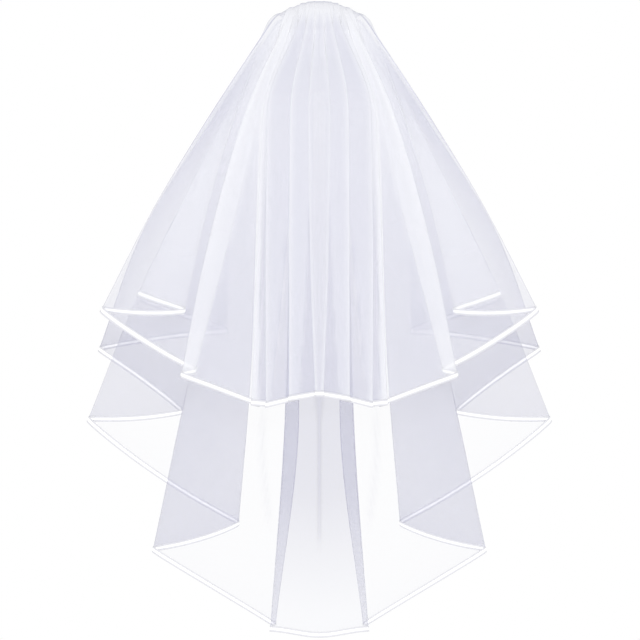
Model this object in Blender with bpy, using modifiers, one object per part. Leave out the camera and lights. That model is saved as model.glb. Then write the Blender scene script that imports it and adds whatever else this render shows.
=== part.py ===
"""A two-tier bridal veil of soft tulle with a satin ribbon edge, hanging from its hair comb.

Two tulle tiers are gathered into one narrow band. They rise from it, roll over and fall behind
the head in flutes whose hems climb towards the sides. A comb under the band holds the veil.

Frame: metres, +Z up, +X to the viewer's right when seen from behind, +Y towards the wearer's face.
The origin is in the middle of the comb, where its teeth leave the spine.
"""

from collections import namedtuple
from math import cos, pi

import bmesh
import bpy
import numpy as np
from mathutils import Vector

MM = 0.001

# Driving sizes, in millimetres
TULLE = 1.0  # wall of each tulle tier
GAP = 0.3  # clearance between pieces that touch
RIBBON_WIDTH = 7.0  # folded satin ribbon along the hem
RIBBON_WALL = 0.8
RIBBON_LIP = 0.7  # from the tulle's edge down to the ribbon's fold, which crosses it at a slant
COMB_WIDTH = 90.0
COMB_SAG = 7.0  # how far the comb's ends curve forward round the head
COMB_WALL = 1.8
SPINE_HEIGHT = 4.2
TEETH = 18
TOOTH_LENGTH = 32.0
TOOTH_ROOT = 2.2  # width of a tooth where it leaves the spine
TOOTH_LEAN = 5.0  # how far the tips lean in towards the head
TOOTH_STEPS = ((0.5, 0.85), (0.94, 0.75), (1.0, 0.5))  # share of the length, taper from the last
BAND_TOP = 8.0  # top of the gather band above the comb's tooth roots
BAND_DEPTH = 10.0
BAND_OVERHANG = 1.0  # past each end of the comb
BAND_EDGE = 1.0  # cut off its long edges
BAND_STEPS = 12  # straight stretches along its curve
DOME_RADIUS = 80.0  # the gathers roll over in an arch of this radius, seen from behind
SHOULDER_DROP = 110.0  # level at which the dome has become the fall
WAIST_SHARE = 0.65  # level of the waist, as a share of each drop
ROLL_TIMES = (0.0, 0.1, 0.3, 0.5, 0.75)  # rows over the roll, from the band (0) to the fall (1)
FALL_SHARES = (0.0, 0.11, 0.27, 0.60)  # rows down the fall, as shares of each drop
FOLD_ROUNDING = 0.6  # extra depth gained where a fold turns, as a share of an even rate
SIDE_EASE = 1.2  # power by which the depths spread out towards the side edge
GATHER_LIMIT = 0.13  # most that a gather stands out, as a share of its own width
HEM_WAVE = 0.4  # how far the hem dips with each gather, as a share of the gather's height
CENTRE_TUCK_DEPTH = 9.0  # narrow tuck down the middle of the lower tier
CENTRE_TUCK_WIDTH = 4.5
CENTRE_TUCK_END = 0.80  # share of the drop at which it has opened out

# One row for each fold, from the centre back to the free side edge, in millimetres from the
# middle. seam_x: place along the gather band. top_x: level with the band, once rolled over.
# shoulder_x, waist_x, hem_x: places further down. drop: hem below the band. hem_y: depth of the
# hem. bow: sag of the hem between this fold and the next. ripples, swell: count and height of the
# small gathers up to the next fold. columns: points up to the next fold.
Fold = namedtuple(
    "Fold", "name seam_x top_x shoulder_x waist_x hem_x drop hem_y bow ripples swell columns"
)
LOWER_FOLDS = [
    Fold("centre", 0, 0, 0, 0, 0, 756, -150, 0, 2, 1.5, 8),
    Fold("front_edge", 8, 18, 32, 42, 60, 749, -144, 0, 0, 0.0, 4),
    Fold("front_tuck", 11, 21, 23, 25, 54, 747, -122, 0, 2, 3.0, 9),
    Fold("low_flute", 19, 36, 80, 158, 206, 654, -102, 5, 1, 1.5, 7),
    Fold("low_tuck", 24, 40, 73, 83, 100, 623, -76, 9, 2, 2.0, 9),
    Fold("wide_flute", 29, 44, 110, 218, 287, 494, -50, 4, 1, 1.5, 7),
    Fold("wide_tuck", 33, 47, 82, 138, 173, 486, -26, -3, 1, 2.0, 7),
    Fold("high_flute", 37, 50, 116, 204, 274, 407, -4, -3, 1, 1.5, 7),
    Fold("high_tuck", 41, 53, 88, 112, 115, 385, 16, 1, 1, 1.5, 7),
    Fold("corner", 44, 56, 113, 174, 229, 344, 44, 0, 0, 0.0, 0),
]
UPPER_FOLDS = [
    Fold("centre", 0, 0, 0, 0, 0, 461, -165, 0, 3, 2.5, 12),
    Fold("low_point", 15, 24, 50, 60, 68, 475, -160, 0, 3, 2.5, 12),
    Fold("pleat_edge", 28, 44, 92, 140, 170, 438, -138, 0, 0, 0.0, 4),
    Fold("pleat_tuck", 31, 47, 72, 114, 152, 433, -124, 5, 2, 2.0, 9),
    Fold("wide_flute", 37, 59, 131, 204, 268, 357, -102, 4, 1, 1.5, 7),
    Fold("wide_tuck", 41, 61, 100, 138, 166, 360, -84, 0, 1, 1.5, 7),
    Fold("corner", 44, 63, 112, 168, 226, 338, -64, 0, 0, 0.0, 0),
]

# One row for each tier, in millimetres. seam_y: its place in the band. crest: height of its roll
# above the band, at the centre. top_back_y, shoulder_back_y: depth of the centre back level with
# the band and at the shoulder. top_side_y, shoulder_side_y: the same for the free side edge.
Tier = namedtuple(
    "Tier", "name folds seam_y crest top_back_y top_side_y shoulder_back_y shoulder_side_y"
)
LOWER_TIER = Tier("lower_tier", LOWER_FOLDS, -2.4, 15.0, -32.0, -2.0, -72.0, 14.0)
UPPER_TIER = Tier("upper_tier", UPPER_FOLDS, 2.4, 31.0, -58.0, -28.0, -104.0, -46.0)

TULLE_WHITE = (0.90, 0.90, 0.94, 1.0)
SATIN_WHITE = (0.95, 0.95, 0.97, 1.0)
COMB_CLEAR = (0.86, 0.87, 0.89, 1.0)


def clear_scene():
    """Starts from an empty scene."""
    for thing in list(bpy.data.objects):
        bpy.data.objects.remove(thing)


def material(name, colour, roughness):
    """A plain Principled material for one of the veil's stuffs."""
    made = bpy.data.materials.new(name)
    made.use_nodes = True
    shader = made.node_tree.nodes["Principled BSDF"]
    shader.inputs["Base Color"].default_value = colour
    shader.inputs["Roughness"].default_value = roughness
    shader.inputs["Metallic"].default_value = 0.0
    made.diffuse_color = colour
    return made


def object_from(name, bm, collection, finish):
    """Makes a mesh object of a bmesh and frees the bmesh."""
    mesh = bpy.data.meshes.new(name)
    bm.to_mesh(mesh)
    bm.free()
    mesh.materials.append(finish)
    thing = bpy.data.objects.new(name, mesh)
    collection.objects.link(thing)
    return thing


def monotone(knots, values, at):
    """Smooth curve through values at knots that turns only at its own highs and lows."""
    knots = np.asarray(knots, float)
    values = np.asarray(values, float)
    steps = np.diff(values) / np.diff(knots)
    slopes = np.zeros(len(values))
    slopes[0], slopes[-1] = steps[0], steps[-1]
    for i in range(1, len(values) - 1):
        before, after = steps[i - 1], steps[i]
        if before * after > 0:
            slopes[i] = 2 * before * after / (before + after)
    cell = np.clip(np.searchsorted(knots, at, side="right") - 1, 0, len(knots) - 2)
    width = knots[cell + 1] - knots[cell]
    t = (at - knots[cell]) / width
    return (
        values[cell] * (2 * t**3 - 3 * t**2 + 1)
        + values[cell + 1] * (3 * t**2 - 2 * t**3)
        + slopes[cell] * width * (t**3 - 2 * t**2 + t)
        + slopes[cell + 1] * width * (t**3 - t**2)
    )


def column_places(folds):
    """Where the columns lie, counted in folds from the centre, closer together at each fold."""
    places = []
    for number, fold in enumerate(folds[:-1]):
        for step in range(fold.columns):
            even = step / fold.columns
            rounded = (1 - cos(pi * even)) / 2
            places.append(number + (2 * even + rounded) / 3)
    places.append(len(folds) - 1.0)
    return np.array(places)


def grain_lines(tier):
    """Each column's own sizes: one grain line of the tulle from the band to the hem."""
    folds = tier.folds
    at = column_places(folds)
    numbers = np.arange(len(folds))
    cell = np.minimum(at.astype(int), len(folds) - 2)
    t = at - cell

    def column(field):
        return np.array([getattr(fold, field) for fold in folds], float)

    fields = ("seam_x", "top_x", "shoulder_x", "waist_x", "hem_x")
    line = {field: monotone(numbers, column(field), at) for field in fields}
    # Depth moves on fastest where the cloth turns back on itself, which rounds each fold.
    turning = t + FOLD_ROUNDING * np.sin(2 * pi * t) / (2 * pi)
    turning = np.where(cell == 0, t**2, turning)
    depth = column("hem_y")
    line["hem_y"] = depth[cell] + np.diff(depth)[cell] * turning
    # The hem climbs evenly along the cloth between folds, sagging by the fold's bow.
    run = np.hypot(np.diff(line["hem_x"]), np.diff(line["hem_y"]))
    length = np.concatenate([[0.0], np.cumsum(run)])
    knots = length[np.searchsorted(at, numbers)]
    share = (length - knots[cell]) / np.diff(knots)[cell]
    share = np.where(cell == 0, 3 * share**2 - 2 * share**3, share)
    drop = column("drop")
    line["drop"] = drop[cell] + np.diff(drop)[cell] * share
    line["drop"] += column("bow")[cell] * 4 * share * (1 - share)
    outward = (at / numbers[-1]) ** SIDE_EASE
    line["top_y"] = tier.top_back_y + (tier.top_side_y - tier.top_back_y) * outward
    forward = tier.shoulder_side_y - tier.shoulder_back_y
    line["shoulder_y"] = tier.shoulder_back_y + forward * outward
    line["seam_y"] = tier.seam_y + comb_curve(line["seam_x"])
    line["crest"] = tier.crest / UPPER_TIER.crest * arch(line)
    line["ripple"] = np.sin(2 * pi * column("ripples")[cell] * t)
    line["swell"] = column("swell")[cell]
    # Gathers for each column, where a stretch with none counts as one long half-wave.
    line["waves"] = np.maximum(column("ripples"), 0.5)[cell] / np.maximum(column("columns"), 1)[cell]
    line["drop"] += HEM_WAVE * line["swell"] * line["ripple"]
    return line


def comb_curve(x):
    """How far the comb and band have curved forward at a place along them."""
    return COMB_SAG * (x / (COMB_WIDTH / 2)) ** 2


def arch(line):
    """Height of the dome above the band where each grain line passes over it."""
    middle = (line["seam_x"] + line["top_x"]) / 2
    return UPPER_TIER.crest - DOME_RADIUS + np.sqrt(DOME_RADIUS**2 - middle**2)


def fall_rows(line, drops):
    """Points down the fall: a row for each row of drops below the band, a column for each line."""
    across, depth = [], []
    for i, hem in enumerate(line["drop"]):
        places = [line[field][i] for field in ("top_x", "shoulder_x", "waist_x", "hem_x")]
        across.append(monotone([0, SHOULDER_DROP, WAIST_SHARE * hem, hem], places, drops[:, i]))
        places = [line[field][i] for field in ("top_y", "shoulder_y", "hem_y")]
        depth.append(monotone([0, SHOULDER_DROP, hem], places, drops[:, i]))
    return np.stack([np.array(across).T, np.array(depth).T, BAND_TOP - drops], axis=2)


def roll_rows(line):
    """Rows of points up from the band and over, to where the fall begins."""
    top, below = fall_rows(line, np.outer((0.0, 1.0), np.ones_like(line["drop"])))
    reach = (line["crest"] * 4 / 3)[:, None]
    height = np.full_like(line["seam_x"], BAND_TOP + 2 * GAP)
    seam = np.stack([line["seam_x"], line["seam_y"], height], axis=1)
    up, over = seam + reach * np.array([0, 0, 1]), top + reach * (top - below)
    steps = np.array(ROLL_TIMES)[:, None, None]
    return (
        (1 - steps) ** 3 * seam
        + 3 * steps * (1 - steps) ** 2 * up
        + 3 * steps**2 * (1 - steps) * over
        + steps**3 * top
    )


def surface_normals(grid):
    """Unit normal at each point of a grid of rows, from its neighbours."""
    along = np.gradient(grid, axis=1)
    down = np.gradient(grid, axis=0)
    along[:, 0] = along[:, 0] * np.array([1, 0, 0])  # the centre line runs straight across
    normals = np.cross(along, down)
    return normals / np.linalg.norm(normals, axis=2, keepdims=True)


def tier_grid(tier):
    """Middle surface of half a tier: rows of points, from the seam down to the hem."""
    line = grain_lines(tier)
    hem = line["drop"]
    drops = [share * hem for share in FALL_SHARES] + [hem - RIBBON_WIDTH, hem]
    grid = np.concatenate([roll_rows(line), fall_rows(line, np.array(drops))])
    normals = surface_normals(grid)
    spacing = np.linalg.norm(np.gradient(grid, axis=1), axis=2)
    height = np.minimum(line["swell"], GATHER_LIMIT * spacing / line["waves"])
    grid += normals * (height * line["ripple"])[:, :, None]
    if tier is LOWER_TIER:
        grid[:, :, 1] += centre_tuck(grid, line)
    grid[:, 0, 0] = 0.0
    grid[:, :, 0] *= -1  # the table's places lie to the left, seen from behind
    return grid * MM


def centre_tuck(grid, line):
    """Depth of the narrow tuck down the middle of the lower tier, deepest half-way down."""
    fade = np.clip((BAND_TOP - grid[:, :, 2]) / line["drop"] / CENTRE_TUCK_END, 0, 1)
    return CENTRE_TUCK_DEPTH * np.sin(pi * fade) * np.exp(-((grid[:, :, 0] / CENTRE_TUCK_WIDTH) ** 2))


def grid_faces(bm, rows):
    """Joins rows of bmesh points into quads."""
    for upper, lower in zip(rows[:-1], rows[1:]):
        for i in range(len(upper) - 1):
            bm.faces.new((upper[i], upper[i + 1], lower[i + 1], lower[i]))


def mirror_across_centre(thing):
    """Adds the other half, merged at the centre line."""
    mirror = thing.modifiers.new("other_half", "MIRROR")
    mirror.use_axis[0] = True
    mirror.merge_threshold = 0.0001


def build_tier(tier, collection, finish):
    """One tulle tier: half its middle surface, mirrored and thickened to the tulle's wall."""
    grid = tier_grid(tier)
    bm = bmesh.new()
    rows = [[bm.verts.new(point) for point in row] for row in grid]
    grid_faces(bm, rows)
    bm.normal_update()
    hem = [[(vert.co.copy(), vert.normal.copy()) for vert in row] for row in rows[-2:]]
    thing = object_from(tier.name, bm, collection, finish)
    mirror_across_centre(thing)
    wall = thing.modifiers.new("tulle_wall", "SOLIDIFY")
    wall.thickness = TULLE * MM
    wall.offset = 0.0
    thing.data.shade_smooth()
    return hem


def ribbon_ring(above, hem):
    """U-section of the folded ribbon at one point of the hem."""
    (upper, out_upper), (lower, out_lower) = above, hem
    down = (lower - upper).normalized()
    inner = (TULLE / 2 + GAP) * MM
    outer = inner + RIBBON_WALL * MM
    lip = RIBBON_LIP * MM
    fold = lip + RIBBON_WALL * MM
    return [
        upper + out_upper * outer,
        lower + out_lower * outer + down * fold,
        lower - out_lower * outer + down * fold,
        upper - out_upper * outer,
        upper - out_upper * inner,
        lower - out_lower * inner + down * lip,
        lower + out_lower * inner + down * lip,
        upper + out_upper * inner,
    ]


def build_ribbon(name, hem_rows, collection, finish):
    """The satin ribbon folded over a tier's hem: a U-section lofted along the hem's own points."""
    bm = bmesh.new()
    rings = [
        [bm.verts.new(corner) for corner in ribbon_ring(above, hem)]
        for above, hem in zip(*hem_rows)
    ]
    for vert in rings[0]:
        vert.co.x = 0.0
    join_rings(bm, rings)
    last = rings[-1]  # the open end of the U is closed by its two legs and its fold
    for corners in ((0, 1, 6, 7), (1, 2, 5, 6), (2, 3, 4, 5)):
        bm.faces.new([last[corner] for corner in corners])
    bmesh.ops.recalc_face_normals(bm, faces=bm.faces)
    thing = object_from(name, bm, collection, finish)
    mirror_across_centre(thing)


def join_rings(bm, rings):
    """Joins closed sections of bmesh points into a tube of quads."""
    for ring, following in zip(rings[:-1], rings[1:]):
        for i in range(len(ring)):
            j = (i + 1) % len(ring)
            bm.faces.new((ring[i], ring[j], following[j], following[i]))


def build_comb(collection, finish):
    """The hair comb: a curved spine whose underside is extruded into tapered teeth."""
    half, pitch, thick = COMB_WIDTH / 2, COMB_WIDTH / TEETH, COMB_WALL / 2
    section = [(-thick, 0.0), (thick, 0.0), (thick, SPINE_HEIGHT), (-thick, SPINE_HEIGHT)]
    places = [-half]
    for tooth in range(TEETH):
        middle = pitch * (tooth + 0.5) - half
        places += [middle - TOOTH_ROOT / 2, middle + TOOTH_ROOT / 2]
    places.append(half)
    bm = bmesh.new()
    rings = [[bm.verts.new((x, y, z)) for y, z in section] for x in places]
    join_rings(bm, rings)
    bm.faces.new(rings[0])
    bm.faces.new(rings[-1])
    bm.faces.ensure_lookup_table()
    undersides = [face for face in bm.faces if all(vert.co.z == 0.0 for vert in face.verts)]
    teeth = undersides[1::2]
    for share, taper in TOOTH_STEPS:
        teeth = bmesh.ops.extrude_discrete_faces(bm, faces=teeth)["faces"]
        for face in teeth:
            middle = face.calc_center_median()
            for vert in face.verts:
                vert.co.x = middle.x + (vert.co.x - middle.x) * taper
                vert.co.y *= taper
                vert.co.z = -TOOTH_LENGTH * share
    for vert in bm.verts:
        lean = TOOTH_LEAN * max(0.0, -vert.co.z / TOOTH_LENGTH) ** 2
        vert.co.y += comb_curve(vert.co.x) + lean
        vert.co *= MM
    bmesh.ops.recalc_face_normals(bm, faces=bm.faces)
    object_from("comb", bm, collection, finish)


def build_band(collection, finish):
    """The narrow satin band that binds the gathered edges, seated on the comb's spine."""
    half = COMB_WIDTH / 2 + BAND_OVERHANG
    depth = BAND_DEPTH / 2
    low, high = SPINE_HEIGHT + GAP, BAND_TOP
    bevel = BAND_EDGE
    section = [
        (bevel - depth, low),
        (depth - bevel, low),
        (depth, low + bevel),
        (depth, high - bevel),
        (depth - bevel, high),
        (bevel - depth, high),
        (-depth, high - bevel),
        (-depth, low + bevel),
    ]
    bm = bmesh.new()
    rings = []
    for step in range(BAND_STEPS + 1):
        x = half * (2 * step / BAND_STEPS - 1)
        forward = comb_curve(x)
        rings.append([bm.verts.new(Vector((x, y + forward, z)) * MM) for y, z in section])
    join_rings(bm, rings)
    bm.faces.new(rings[0])
    bm.faces.new(rings[-1])
    bmesh.ops.recalc_face_normals(bm, faces=bm.faces)
    object_from("gather_band", bm, collection, finish)


def main():
    clear_scene()
    veil = bpy.data.collections.new("bridal_veil")
    bpy.context.scene.collection.children.link(veil)
    tulle = material("tulle", TULLE_WHITE, 0.8)
    satin = material("satin", SATIN_WHITE, 0.35)
    clear = material("comb_plastic", COMB_CLEAR, 0.25)
    for tier, ribbon in ((LOWER_TIER, "lower_ribbon"), (UPPER_TIER, "upper_ribbon")):
        hem_rows = build_tier(tier, veil, tulle)
        build_ribbon(ribbon, hem_rows, veil, satin)
    build_band(veil, satin)
    build_comb(veil, clear)


main()
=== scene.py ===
# %% [markdown]
# # A two-tier bridal veil
# The veil hangs from a hair comb and is seen from behind. Two tiers of soft tulle are gathered into
# one narrow band, rise from it, roll over and fall in folds. A folded satin ribbon edges each hem.
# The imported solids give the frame: every new piece here is made in the same place and size.
# The frame is +Z up, +X to the viewer's right from behind, +Y towards the wearer's face.

# %% Load the frame
from collections import namedtuple
from math import pi, radians

import bmesh
import bpy
import numpy as np
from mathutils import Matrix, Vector


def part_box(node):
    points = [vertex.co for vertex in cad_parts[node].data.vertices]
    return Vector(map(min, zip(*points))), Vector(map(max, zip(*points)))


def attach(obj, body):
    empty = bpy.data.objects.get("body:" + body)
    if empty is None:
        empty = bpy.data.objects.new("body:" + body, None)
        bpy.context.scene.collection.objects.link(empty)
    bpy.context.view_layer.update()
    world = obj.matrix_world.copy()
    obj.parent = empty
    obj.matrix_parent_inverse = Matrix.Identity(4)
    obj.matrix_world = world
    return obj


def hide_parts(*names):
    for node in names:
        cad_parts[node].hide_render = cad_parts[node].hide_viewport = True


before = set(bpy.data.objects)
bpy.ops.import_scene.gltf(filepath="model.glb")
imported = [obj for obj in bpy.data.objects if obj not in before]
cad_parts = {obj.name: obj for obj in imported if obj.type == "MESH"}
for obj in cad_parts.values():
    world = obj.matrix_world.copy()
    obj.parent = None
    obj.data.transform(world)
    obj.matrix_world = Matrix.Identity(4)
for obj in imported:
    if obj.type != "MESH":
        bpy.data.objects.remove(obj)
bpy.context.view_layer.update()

MM = 0.001
print("nodes:", sorted(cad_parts))

# %% [markdown]
# ## The camera
# The photo was taken from behind, level with the middle of the veil and from far enough away that
# nothing is foreshortened. A long lens does that. Its focal length follows from how much of the
# scene the picture's width covers at the depth of the comb.

# %% Place the camera
CAMERA_DISTANCE = 5.0
CAMERA_HEIGHT = -0.361
CAMERA_SIDEWAYS = 0.0008
PICTURE_WIDTH = 0.8064  # metres across the picture at the comb
SENSOR_WIDTH = 36.0
SIGHT_LIMIT = 60.0  # metres, well past the far edge of the floor

camera_data = bpy.data.cameras.new("camera")
camera_data.sensor_width = SENSOR_WIDTH
camera_data.lens = SENSOR_WIDTH * CAMERA_DISTANCE / PICTURE_WIDTH
camera_data.clip_end = SIGHT_LIMIT
camera = bpy.data.objects.new("camera", camera_data)
camera.location = (CAMERA_SIDEWAYS, -CAMERA_DISTANCE, CAMERA_HEIGHT)
camera.rotation_euler = (radians(90), 0, 0)
bpy.context.scene.collection.objects.link(camera)
bpy.context.scene.camera = camera
print("lens:", round(camera_data.lens, 1), "mm")

# %% [markdown]
# ## How a tier is described
# Tulle is cut flat, then gathered along one edge. Each fold that results runs from the gathers to
# the hem, so a tier is a row of folds, and each fold is known by where it lies at five levels:
# in the seam, rolled over at the top, at the shoulder, at the waist and at the hem. Where x turns
# back from one fold to the next, the cloth passes behind itself, and its depth always moves on
# towards the face, so the sheet never meets itself. A cloth simulation would lose these folds.

# %% Table of folds
# Millimetres from the middle, from the centre back to the free side edge. drop: hem below the
# band. hem_y: depth of the hem. bow: sag of the hem up to the next fold. wave: height of the soft
# gathers up to the next fold. shade: how deep in shadow that stretch lies, from 0 to 1, and
# backed: the same where the stretch's own pleat lies behind it. cover: how much one layer of its
# net hides. columns: points up to the next fold.
Fold = namedtuple(
    "Fold",
    "name seam_x top_x shoulder_x waist_x hem_x drop hem_y bow wave shade backed cover columns",
)
LOWER_FOLDS = [
    Fold("centre", 0, 0, 0, 0, 0, 756, -150, 0, 0.8, 1.0, 1.0, 0.25, 26),
    Fold("front_edge", 8, 18, 32, 42, 60, 749, -144, 0, 0.3, 1.0, 1.0, 0.30, 12),
    Fold("front_tuck", 11, 21, 23, 25, 54, 747, -122, 0, 2.0, 0.2, 0.2, 0.13, 68),
    Fold("low_flute", 19, 36, 80, 158, 206, 654, -102, 5, 1.5, 1.0, 1.0, 0.36, 30),
    Fold("low_tuck", 24, 40, 73, 83, 100, 623, -76, 9, 2.0, 0.15, 0.15, 0.11, 36),
    Fold("wide_flute", 29, 46, 112, 221, 290, 494, -50, 4, 1.5, 1.0, 1.0, 0.25, 28),
    Fold("wide_tuck", 33, 49, 82, 138, 173, 486, -26, -3, 1.5, 1.0, 1.0, 0.22, 26),
    Fold("high_flute", 37, 56, 131, 226, 278, 407, -4, -3, 1.5, 1.0, 1.0, 0.19, 28),
    Fold("high_tuck", 41, 57.5, 88, 112, 115, 385, 16, 1, 1.5, 0.4, 0.4, 0.15, 26),
    Fold("corner", 44, 60, 115, 174, 229, 344, 44, 0, 0.0, 0.4, 0.4, 0.15, 0),
]
UPPER_FOLDS = [
    Fold("centre", 0, 0, 0, 0, 0, 461, -165, 0, 0.3, 0.36, 0.32, 0.60, 10),
    Fold("middle_edge", 3, 6, 14, 11, 5, 461, -164, 0, 0.2, 0.2, 0.2, 0.50, 8),
    Fold("middle_tuck", 5, 7, 8, 7, 1, 461, -161, 0, 0.4, 0.50, 0.27, 0.60, 20),
    Fold("inner_edge", 9, 16, 36, 37, 37, 467, -159, 0, 0.3, 0.2, 0.2, 0.50, 12),
    Fold("inner_tuck", 11, 17, 10, 15, 24, 465, -156, 0, 0.4, 0.58, 0.31, 0.60, 22),
    Fold("outer_edge", 15, 26, 64, 66, 65, 475, -154, 0, 0.3, 0.2, 0.2, 0.50, 10),
    Fold("outer_tuck", 18, 27, 28, 43, 60, 474, -151, 0, 0.3, 0.64, 0.20, 0.60, 16),
    Fold("side_edge", 21, 34, 70, 78, 83, 472, -149, 0, 0.3, 0.17, 0.17, 0.50, 10),
    Fold("side_tuck", 24, 36, 64, 72, 74, 474, -146, 0, 1.2, 0.20, 0.07, 0.33, 26),
    Fold("pleat_edge", 28, 44, 92, 140, 170, 438, -138, 0, 0.5, 0.03, 0.03, 0.50, 12),
    Fold("pleat_tuck", 31, 47, 72, 114, 152, 433, -124, 5, 1.8, 0.14, 0.14, 0.17, 30),
    Fold("wide_flute", 37, 63, 135, 208, 271, 357, -102, 4, 1.2, 0.14, 0.14, 0.18, 28),
    Fold("wide_tuck", 41, 65, 102, 138, 166, 360, -84, 0, 1.5, 0.0, 0.0, 0.36, 28),
    Fold("corner", 44, 67, 115, 169, 226, 338, -64, 0, 0.0, 0.0, 0.0, 0.36, 0),
]

# One row for each tier, in millimetres. seam_y: its place in the band. crest: height of its roll
# above the band, at the centre. top_back_y, shoulder_back_y: depth of the centre back level with
# the band and at the shoulder. top_side_y, shoulder_side_y: the same for the free side edge.
# dim_from, dim_by: the drops between which the shade grows to its full depth. line, light: how
# strongly the turning lines of its folds show as dense lines with painted shade, and as painted
# highlights.
Tier = namedtuple(
    "Tier",
    "name folds seam_y crest top_back_y top_side_y shoulder_back_y shoulder_side_y"
    " dim_from dim_by line light",
)
LOWER_TIER = Tier(
    "lower_tulle", LOWER_FOLDS, -2.4, 15.0, -32.0, -2.0, -72.0, 14.0, 0.0, 430.0, 1.0, 0.0
)
UPPER_TIER = Tier(
    "upper_tulle", UPPER_FOLDS, 2.4, 31.0, -58.0, -28.0, -104.0, -46.0, -24.0, -2.0, 0.25, 0.15
)
for tier in (LOWER_TIER, UPPER_TIER):
    print(tier.name, "has", 2 * len(tier.folds) - 1, "folds and", tier.folds[0].drop, "mm of fall")

# %% [markdown]
# ## Curves that never overshoot
# A spline through a fold's places would swing past them and let the cloth cut through itself. This
# curve turns only at its own highs and lows, so a stretch between two places stays between them.

# %% Smooth curve through given places
def monotone(knots, values, at):
    """Smooth curve through values at knots that turns only at its own highs and lows."""
    knots = np.asarray(knots, float)
    values = np.asarray(values, float)
    steps = np.diff(values) / np.diff(knots)
    slopes = np.zeros(len(values))
    slopes[0], slopes[-1] = steps[0], steps[-1]
    for i in range(1, len(values) - 1):
        before, after = steps[i - 1], steps[i]
        if before * after > 0:
            slopes[i] = 2 * before * after / (before + after)
    cell = np.clip(np.searchsorted(knots, at, side="right") - 1, 0, len(knots) - 2)
    width = knots[cell + 1] - knots[cell]
    t = (at - knots[cell]) / width
    return (
        values[cell] * (2 * t**3 - 3 * t**2 + 1)
        + values[cell + 1] * (3 * t**2 - 2 * t**3)
        + slopes[cell] * width * (t**3 - 2 * t**2 + t)
        + slopes[cell + 1] * width * (t**3 - t**2)
    )


halfway = monotone([0, 1, 2], [0, 1, 0], np.array([0.5]))
print("half-way between 0 and 1:", round(float(halfway[0]), 3))

# %% [markdown]
# ## Grain lines
# A grain line is one thread of the net, from the seam to the hem. Each column of points follows
# one, so gathers drawn along it look sewn in. Columns crowd at the folds, where the cloth turns.

# %% Sizes of each grain line
COMB_WIDTH = 90.0
COMB_SAG = 7.0  # how far the comb's ends curve forward round the head
DOME_RADIUS = 100.0  # the gathers roll over in an arch of this radius, seen from behind
FOLD_CROWDING = 0.6  # share by which columns are closer together at a fold
FOLD_ROUNDING = 0.6  # extra depth gained where a fold turns, as a share of an even rate
SIDE_EASE = 1.2  # power by which the depths spread out towards the side edge


def comb_curve(x):
    """How far the comb and band have curved forward at a place along them."""
    return COMB_SAG * (x / (COMB_WIDTH / 2)) ** 2


def column_places(folds):
    """Where the columns lie, counted in folds from the centre."""
    places = []
    for number, fold in enumerate(folds[:-1]):
        even = np.arange(fold.columns) / fold.columns
        places.extend(number + even - FOLD_CROWDING * np.sin(2 * pi * even) / (2 * pi))
    return np.array(places + [len(folds) - 1.0])


def grain_lines(tier):
    """Each column's own sizes, in millimetres."""
    folds = tier.folds
    at = column_places(folds)
    numbers = np.arange(len(folds))
    cell = np.minimum(at.astype(int), len(folds) - 2)
    t = at - cell

    def column(field):
        return np.array([getattr(fold, field) for fold in folds], float)

    fields = ("seam_x", "top_x", "shoulder_x", "waist_x", "hem_x")
    line = {field: monotone(numbers, column(field), at) for field in fields}
    turning = t + FOLD_ROUNDING * np.sin(2 * pi * t) / (2 * pi)
    turning = np.where(cell == 0, t**2, turning)
    depth = column("hem_y")
    line["hem_y"] = depth[cell] + np.diff(depth)[cell] * turning
    run = np.hypot(np.diff(line["hem_x"]), np.diff(line["hem_y"]))
    length = np.concatenate([[0.0], np.cumsum(run)])
    knots = length[np.searchsorted(at, numbers)]
    share = (length - knots[cell]) / np.diff(knots)[cell]
    share = np.where(cell == 0, 3 * share**2 - 2 * share**3, share)
    drop = column("drop")
    line["drop"] = drop[cell] + np.diff(drop)[cell] * share
    line["drop"] += column("bow")[cell] * 4 * share * (1 - share)
    outward = (at / numbers[-1]) ** SIDE_EASE
    line["top_y"] = tier.top_back_y + (tier.top_side_y - tier.top_back_y) * outward
    forward = tier.shoulder_side_y - tier.shoulder_back_y
    line["shoulder_y"] = tier.shoulder_back_y + forward * outward
    line["seam_y"] = tier.seam_y + comb_curve(line["seam_x"])
    middle = (line["seam_x"] + line["top_x"]) / 2
    arch = UPPER_TIER.crest - DOME_RADIUS + np.sqrt(DOME_RADIUS**2 - middle**2)
    line["crest"] = tier.crest / UPPER_TIER.crest * arch
    line["flat"] = length  # place along the hem
    levels = ("shoulder_x", "waist_x", "hem_x")
    widest = np.max([np.abs(np.diff(line[field])) for field in levels], axis=0)
    cut = np.hypot(widest, np.diff(line["hem_y"]))
    line["cut"] = np.concatenate([[0.0], np.cumsum(cut)])  # place across the flat cut
    line["at"] = at
    line["cell"] = cell
    for field in ("wave", "shade", "backed", "cover"):
        line[field] = column(field)[cell]
    return line


for tier in (LOWER_TIER, UPPER_TIER):
    sizes = grain_lines(tier)
    print(tier.name, "hem:", round(2 * sizes["flat"][-1] * MM, 2), "m")
    print(tier.name, "widest:", round(2 * sizes["cut"][-1] * MM, 2), "m")

# %% [markdown]
# ## The surface of a tier
# Each grain line leaves the seam upwards, rolls over in a Bezier curve and then falls. Its places
# at the levels of the table are joined by the smooth curve from above.

# %% Rows of points over the roll and down the fall
BAND_TOP = 8.0  # top of the gather band above the comb's tooth roots
SEAM_LIFT = 0.6  # from the band up to the tulle's first row
SHOULDER_DROP = 110.0  # level at which the dome has become the fall
WAIST_SHARE = 0.65  # level of the waist, as a share of each drop
RIBBON_WIDTH = 5.6  # height of the tulle inside the folded ribbon
ROLL_ROWS = 12
FALL_ROWS = 56


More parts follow.
